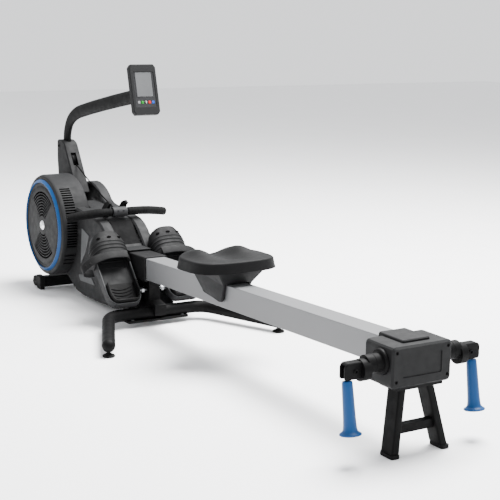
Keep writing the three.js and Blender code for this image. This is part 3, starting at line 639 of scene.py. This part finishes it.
def add_stabiliser():
    bend, x, z = 190, -340, 50
    corner = Vector((x, bend + 14, z))
    end = Vector((-6, 355, z - 10))
    leave = corner + (end - corner).normalized() * 60
    first = Vector((x, bend - 46, z))
    steps = [k / 10 for k in range(11)]
    elbow = [(1 - t) ** 2 * first + 2 * t * (1 - t) * corner + t ** 2 * leave for t in steps]
    half = [Vector((x, 0, z)), Vector((x, 70, z))] + elbow
    half += [leave.lerp(end, t) for t in (0.25, 0.5, 0.75)] + [end]
    whole = [Vector((p.x, -p.y, p.z)) for p in reversed(half[1:])] + half
    path = [Vector((p.x * MM + SHIFT, p.y * MM, p.z * MM)) for p in whole]
    tube = swept("mid_stabilizer_skin", path, 0.024, "black", 32)
    stand_for(tube, "mid_stabilizer")
    for side, sign in SIDES:
        tip = [(0.024 * cos(radians(9 * k)), 0.024 * sin(radians(9 * k))) for k in range(11)]
        direction = Vector((end.x - corner.x, sign * (end.y - corner.y), end.z - corner.z)).normalized()
        place = along(direction, (end.x * MM + SHIFT, sign * end.y * MM, end.z * MM))
        detail(lathe(side + "_tube_end", tip, "black", place, 32), "frame", "black_steel")
        foot = [
            (0.0, 0.0), (0.0205, 0.0), (0.0225, 0.0012), (0.023, 0.003), (0.0228, 0.0056),
            (0.020, 0.0075), (0.0142, 0.0098), (0.0105, 0.0102), (0.0105, 0.0132), (0.006, 0.0136),
            (0.006, 0.037), (0.0, 0.037),
        ]
        place = Matrix.Translation((end.x * MM + SHIFT, sign * end.y * MM, 0))
        stand_for(lathe(side + "_level_foot_skin", foot, "rubber", place, 40), side + "_level_foot")
    base = rounded([(-368, -130), (-312, -130), (-312, 130), (-368, 130)], 8)
    outline = [(u * MM + SHIFT, v * MM) for u, v in base]
    detail(prism("stabilizer_plate", outline, 0.019, 0.0285, "black", None, 0.001), "frame", "black_steel")
    for sign in (-1, 1):
        for x in (-352, -328):
            name = "plate_bolt_%s_%d" % ("left" if sign < 0 else "right", -x)
            screw(name, (x * MM + SHIFT, sign * 0.108, 0.0285), (0, 0, 1), 0.007, "frame")


# ---------------------------------------------------------------- rear housing and pulls
def add_rear():
    skinned("rear_housing", "charcoal", 0.0035, 3, 45)
    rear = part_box("rear_housing")[1][0]
    for y in (-0.089, 0.089):
        for z in (0.217, 0.299):
            name = "rear_screw_%s_%s" % ("left" if y < 0 else "right", "low" if z < 0.25 else "high")
            screw(name, (rear - 0.0045, y, z), (1, 0, 0), 0.0044, "frame", look="black")
    for side, sign in SIDES:
        skinned(side + "_boss", "black", 0.0015)
        skinned(side + "_pulley_bracket", "black", 0.0018, 3)
        frame["nodes"][side + "_ski_pulley"].data.materials[0] = MATERIALS["steel"]
        bolt = (SKI["x"] + 0.0155, sign * 0.202, 0.256)
        screw(side + "_pulley_bolt", bolt, (1, 0, 0), 0.0075, side + "_bracket", look="black")
        add_pull(side, sign)


def add_pull(side, sign):
    """A blue ski handle with a flange at its foot, hung from its bracket on a stub of cord."""
    length = SKI["length"]
    place = Matrix.Translation((SKI["x"], sign * SKI["y"], SKI["top"]))
    place = place @ Matrix.Rotation(-radians(SKI["lean"]), 4, "Y") @ Matrix.Translation((0, 0, -length))
    profile = [
        (0.0, 0.0), (0.022, 0.0), (0.0280, 0.0006), (0.0306, 0.0022), (0.0312, 0.0044), (0.0298, 0.0068),
        (0.0252, 0.0096), (0.0215, 0.0132), (0.0197, 0.0185), (0.0187, 0.0270), (0.0179, 0.0420),
        (0.0172, 0.0650), (0.0166, 0.0900), (0.0160, 0.1150), (0.0155, length - 0.016),
        (0.0150, length - 0.005), (0.0138, length - 0.0010), (0.0122, length), (0.0070, length),
        (0.0062, length - 0.004), (0.0, length - 0.004),
    ]
    stand_for(lathe(side + "_ski_handle_skin", profile, "blue", place, 48), side + "_ski_handle")
    low = Vector((SKI["x"], sign * SKI["y"], SKI["top"] - 0.004))
    top = Vector((SKI["x"], sign * SKI["y"], SKI["top"] + 0.0265))
    route = [low.lerp(top, k / 14) for k in range(15)]
    stub = swept(side + "_ski_cord", route, 0.0024, "cord", 14, None, (0, 1, 0))
    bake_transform(stub)


# ---------------------------------------------------------------- seat
def seat_top(u, v):
    """Height over the rim: two thigh lobes at the front and a channel along the middle."""
    u, v = u / MM, v / MM
    lobe = exp(-(((abs(v) - 82) / 40) ** 2)) * exp(-(((u + 50) / 75) ** 2))
    channel = exp(-((v / 40) ** 2)) * (1 if u < 20 else exp(-(((u - 20) / 50) ** 2)))
    return (24 * lobe - 8 * channel) * MM


def add_seat():
    around, rings = 112, 26
    wide, deep, rim, thick = (SEAT[k] for k in ("half_width", "half_depth", "rim", "thick"))

    def at(i, share):
        a = 2 * pi * i / around
        power = 2 / 3.2
        c, s = cos(a), sin(a)
        return (
            share * deep * (1 if c > 0 else -1) * abs(c) ** power,
            share * wide * (1 if s > 0 else -1) * abs(s) ** power,
        )

    verts, faces = [(SEAT["x"], 0, rim + seat_top(0, 0))], []
    for k in range(1, rings + 1):
        for i in range(around):
            u, v = at(i, 0.93 * k / rings)
            verts.append((SEAT["x"] + u, v, rim + seat_top(u, v)))
    side = [
        (0.938, 0.9), (0.950, 2.2), (0.958, 4.6), (0.962, 8.0), (0.968, 14.0), (0.975, 20.0),
        (0.982, 26.0), (0.990, 31.0), (0.9965, 34.6), (1.0, 36.0), (0.998, 37.2), (0.985, 38.0), (0.92, 38.0),
    ]
    for share, drop in side:
        for i in range(around):
            u, v = at(i, share)
            lift = seat_top(u, v) * max(0, 1 - drop / 36)
            verts.append((SEAT["x"] + u, v, rim - drop * MM + lift))
    loops = rings + len(side)
    verts.append((SEAT["x"], 0, rim - thick))
    faces += [(0, 1 + i, 1 + (i + 1) % around) for i in range(around)]
    for k in range(loops - 1):
        for i in range(around):
            j = (i + 1) % around
            a, b = 1 + k * around, 1 + (k + 1) * around
            faces.append((a + i, b + i, b + j, a + j))
    last = 1 + (loops - 1) * around
    faces += [(last + i, len(verts) - 1, last + (i + 1) % around) for i in range(around)]
    pad = build("seat_pad_skin", verts, faces, "foam", 60, RAIL_FRAME)
    stand_for(pad, "seat_pad")
    skinned("seat_carriage", "charcoal", 0.0022, 3)
    for node in ("front_roller", "rear_roller"):
        frame["nodes"][node].data.materials[0] = MATERIALS["rubber"]


# ---------------------------------------------------------------- footrests
def add_footrests():
    for side, sign in SIDES:
        skinned(side + "_footplate", "tray", 0.0018, 3)
        skinned(side + "_heel_cup", "rubber", 0.0014, 2)
        place = foot_frame(sign)
        add_strap(side, place)
        add_loop(side, sign, place)
        add_tray_ribs(side, place)
        add_tray_rim(side, place)
        add_heel_ridges(side, place)
    skinned("footrest_axle", "steel", 0.0008)


def strap_height(u):
    """Half width and height of the band's arch at a place along the foot."""
    toe = max(0, (u - 0.215) / 0.075)
    heel = max(0, (0.175 - u) / 0.03)
    return 0.079 - 0.036 * toe ** 2, 0.050 - 0.010 * toe ** 2 - 0.004 * heel


def strap_point(u, share, sink=0.0):
    """A point on the arch. share runs from -1 at its left end to 1 at its right end."""
    half, height = strap_height(u)
    a = pi / 2 * share
    power = 2 / 2.7
    y = (half - sink) * (1 if a > 0 else -1) * abs(sin(a)) ** power
    z = 0.0135 - (height + 0.0135 - sink) * abs(cos(a)) ** power
    bow = 0.020 * (1 - share ** 2)
    return (u + bow, y, z)


def add_strap(side, place):
    """A moulded rubber band over the foot, with bowed ridges and slots near its rounded toe edge."""
    start, stop, steps, n = 0.150, 0.270, 60, 33
    first_ridge, ridge_pitch = 0.176, 0.0165
    rows = []
    for k in range(steps + 1):
        u = start + (stop - start) * k / steps
        sink = 0.0012
        if 0.170 < u < 0.225:
            sink = 0.0026 - 0.0024 * max(0, cos(2 * pi * (u - first_ridge) / ridge_pitch)) ** 1.5
        rows.append((u, sink))
    shares = [-1 + 2 * i / (n - 1) for i in range(n)]
    verts = [strap_point(u, share, sink) for u, sink in rows for share in shares]
    skin = len(verts)
    verts += [strap_point(u, share, 0.0048) for u, _ in rows for share in shares]
    faces = []
    for k in range(len(rows) - 1):
        for i in range(n - 1):
            a, b = k * n + i, (k + 1) * n + i
            faces.append((a, a + 1, b + 1, b))
            faces.append((skin + a, skin + b, skin + b + 1, skin + a + 1))
        for i in (0, n - 1):
            a, b = k * n + i, (k + 1) * n + i
            faces.append((a, b, skin + b, skin + a))
    for k in (0, len(rows) - 1):
        for i in range(n - 1):
            a = k * n + i
            faces.append((a, a + 1, skin + a + 1, skin + a))
    band = build(side + "_strap_skin", verts, faces, "strap", 38, place)
    stand_for(band, side + "_strap")
    # The slots are thin near-black plates on the band: painted shade where the slots are.
    for k in range(3):
        u, y, z = strap_point(0.240, (k - 1) * 0.30)
        outline = oval(0.0095, 0.0190, 28, (u, y))
        name = "%s_strap_slot_%d" % (side, k + 1)
        slot = prism(name, outline, z - 0.0004, z + 0.0040, "painted_shade", place, 0.0003)
        detail(slot, "frame", "rubber")


def add_loop(side, sign, place):
    """The strap's free end: a flat band that crosses the foot, leaves its outer edge and curls back."""
    w = FOOT["half"]
    route = [
        (0.176, -w + 0.020, -0.0480), (0.177, -0.030, -0.0505), (0.178, 0.000, -0.0512),
        (0.177, 0.030, -0.0505),
        (0.174, w - 0.020, -0.0478), (0.168, w + 0.012, -0.0380), (0.160, w + 0.038, -0.0210),
        (0.151, w + 0.054, -0.0010), (0.145, w + 0.050, 0.0140), (0.142, w + 0.030, 0.0200),
        (0.142, w + 0.008, 0.0170),
    ]
    path = curve_points([(u, y * sign, z) for u, y, z in route], 60)
    band = swept(side + "_strap_loop", path, 0.0165, "strap", 24, 0.0019, (1, 0, 0))
    band.data.transform(place)
    detail(band, "frame", "rubber")
    for k, y in enumerate((w + 0.030, w + 0.045)):
        z = -0.0275 if k == 0 else -0.0145
        outline = oval(0.007, 0.007, 20, (0.159, y * sign))
        name = "%s_strap_stud_%d" % (side, k + 1)
        stud = prism(name, outline, z - 0.0035, z + 0.004, "black_plastic", place, 0.0008)
        detail(stud, "frame", "rubber")


def add_tray_ribs(side, place):
    """Raised treads across the tray's floor, from its middle to under the strap."""
    for k in range(4):
        u = 0.150 + 0.028 * k
        tread = box_outline(0.005, 0.104, 0.0024, (u, 0))
        piece = prism("%s_tread_%d" % (side, k + 1), tread, 0.0040, 0.0066, "charcoal", place, 0.0007)
        detail(piece, "frame", "charcoal_plastic")


def add_tray_rim(side, place):
    """A pale bead along the tray's top edge, from under the strap round the heel and back: a painted
    highlight on that edge.
    """
    half = [
        (0.190, 0.0700), (0.120, 0.0697), (0.060, 0.0693), (0.026, 0.0685), (0.0105, 0.0660),
        (-0.004, 0.0610), (-0.0145, 0.0520), (-0.0205, 0.0420), (-0.0222, 0.0300),
    ]
    whole = half + [(-0.0222, 0.0)] + [(u, -y) for u, y in reversed(half)]
    path = curve_points([(u, y, -0.0152) for u, y in whole], 90)
    bead = swept(side + "_tray_rim", path, 0.0013, "rim", 12, 0.0017, (0, 0, 1))
    bead.data.transform(place)
    detail(bead, "frame", "charcoal_plastic")


def add_heel_ridges(side, place):
    """Grip ridges on the heel cup's floor, bowed like its rounded end."""
    for k in range(4):
        reach = 0.040 + 0.003 * min(k, 2)
        curve = [(0.004 + 0.0135 * k + 0.012 * (t / 8) ** 2, reach * t / 8) for t in range(-8, 9)]
        outline = curve + [(u + 0.0042, y) for u, y in reversed(curve)]
        name = "%s_heel_ridge_%d" % (side, k + 1)
        piece = prism(name, outline, -0.0016, 0.0014, "rubber", place, 0.0006)
        detail(piece, side + "_heel", "rubber")


# ---------------------------------------------------------------- handlebar and its cord
def bar_route(start, stop, count):
    """Points along the bar's middle line, which droops and sweeps towards its ends."""
    out = []
    for i in range(count + 1):
        y = start + (stop - start) * i / count
        share = max(0, (abs(y) - 0.060) / (BAR["half"] - 0.060))
        out.append(Vector((BAR["x"] - 0.026 * share ** 2, y, BAR["z"] - 0.017 * share ** 2)))
    return out


def add_handlebar():
    half = BAR["half"]
    bar = swept("handlebar_skin", bar_route(-half + 0.004, half - 0.004, 60), BAR["radius"], "black", 32)
    stand_for(bar, "handlebar")

    def sleeve(share):
        """A grip's radius: it swells in the middle, with a groove every 14 mm and eased ends."""
        edge = min(share, 1 - share) * (half - 0.024)
        ends = min(1, edge / 0.004)
        swell = 0.0006 * sin(pi * share)
        groove = 0.0006 if (edge * 1000) % 14 < 1.6 and edge > 0.008 else 0
        return BAR["grip"] - 0.0012 + swell - groove - 0.0022 * (1 - ends) ** 2

    for side, sign in SIDES:
        route = bar_route(GRIP_START * sign, half * sign, 190)
        grip = swept(side + "_bar_grip_skin", route, sleeve, "grip", 32)
        stand_for(grip, side + "_bar_grip")
    clamp = skinned("bar_clamp", "grey", 0.0012)
    clamp.data.transform(Matrix.Scale(CLAMP_STRETCH, 4, (0, 1, 0)))
    for k in (-1, 1):
        name = "clamp_screw_%s" % ("left" if k < 0 else "right")
        centre = (BAR["x"] + 0.0195, k * 0.012, BAR["z"] + 0.006)
        screw(name, centre, (0.95, 0, 0.30), 0.0035, "handle", look="black")
    skinned("handle_hooks", "black_plastic", 0.002, 3)


def add_cord():
    points = [
        (-1112, 541), (-1085.3, 530), (-1058.5, 519.1), (-1031.8, 508.3), (-1005.1, 497.7), (-978.3, 487.3),
        (-951.6, 477.1), (-924.9, 467.3), (-898.1, 457.8), (-871.4, 448.5), (-844.7, 439.6), (-817.9, 430.9),
        (-791.2, 422.5), (-764.5, 414.2), (-737.7, 406.1), (-711, 398),
    ]
    route = curve_points([(x * MM + SHIFT, 0, z * MM) for x, z in points], 45)
    cord = swept("handle_cord_skin", route, CORD_RADIUS, "cord", 16, None, (0, 1, 0))
    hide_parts("handle_cord")
    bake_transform(cord)


# ---------------------------------------------------------------- console
def add_console():
    case = skinned("console_case", "charcoal", 0.0014)
    case.data.materials.append(MATERIALS["gloss_black"])
    inverse = CONSOLE.inverted()
    for polygon in case.data.polygons:
        centre = inverse @ polygon.center
        if -0.010 < centre.x < -0.0015 and abs(centre.y) < 0.0445 and abs(centre.z) < 0.0695:
            polygon.material_index = 1
    skinned("console_screen", "screen", 0.0006)
    face = Matrix(((0, 0, 1, 0), (1, 0, 0, 0), (0, 1, 0, 0), (0, 0, 0, 1)))
    place = CONSOLE @ face
    keys = {
        "menu_key": ("menu", box_outline(0.0104, 0.0104, 0.0030)),
        "start_key": ("start", box_outline(0.0104, 0.0104, 0.0030)),
        "arrow_key": ("gloss_black", box_outline(0.0108, 0.0108, 0.002)),
        "stop_key": ("stop", box_outline(0.0104, 0.0104, 0.0028)),
        "display_key": ("display", box_outline(0.0104, 0.0104, 0.0028)),
    }
    for index, (node, (look, outline)) in enumerate(keys.items()):
        y = (index - 2) * KEY_PITCH
        moved = [(u + y, v - KEY_DROP) for u, v in outline]
        stand_for(prism(node + "_skin", moved, -0.0065, -0.0008, look, place, 0.0009), node)
    for label, flip in (("up", 1), ("down", -1)):
        middle = flip * 0.0026 - KEY_DROP
        base = middle - flip * 0.0014
        arrow = [(-0.0034, base), (0.0034, base), (0, middle + flip * 0.0020)]
        piece = prism("arrow_mark_" + label, arrow, -0.0010, -0.0003, "arrow", place, 0.0002)
        detail(piece, "arrow_key", "arrow_key")
    for k, (width, height, centre) in enumerate((
        (0.0745, 0.0022, (0, 0.0692)), (0.0745, 0.0022, (0, -0.0292)),
        (0.0022, 0.1000, (-0.0362, 0.020)), (0.0022, 0.1000, (0.0362, 0.020)),
    )):
        outline = box_outline(width, height, 0.0008, centre)
        edge = prism("screen_edge_%d" % (k + 1), outline, -0.0026, -0.0016, "grey", place, 0.0003)
        detail(edge, "console", "charcoal_plastic")
    for y in (-0.044, 0.044):
        for z in (-0.086, 0.086):
            name = "case_screw_%s_%s" % ("left" if y < 0 else "right", "low" if z < 0 else "high")
            centre = CONSOLE @ Vector((-0.026, y, z))
            axis = CONSOLE.to_3x3() @ Vector((-1, 0, 0))
            screw(name, centre, axis, 0.0034, "console", look="black")


make_materials()
add_camera()
add_cord()
add_studio()
add_fan()
add_frame()
add_covers()
add_mast()
add_stabiliser()
add_rear()
add_seat()
add_footrests()
add_handlebar()
add_console()
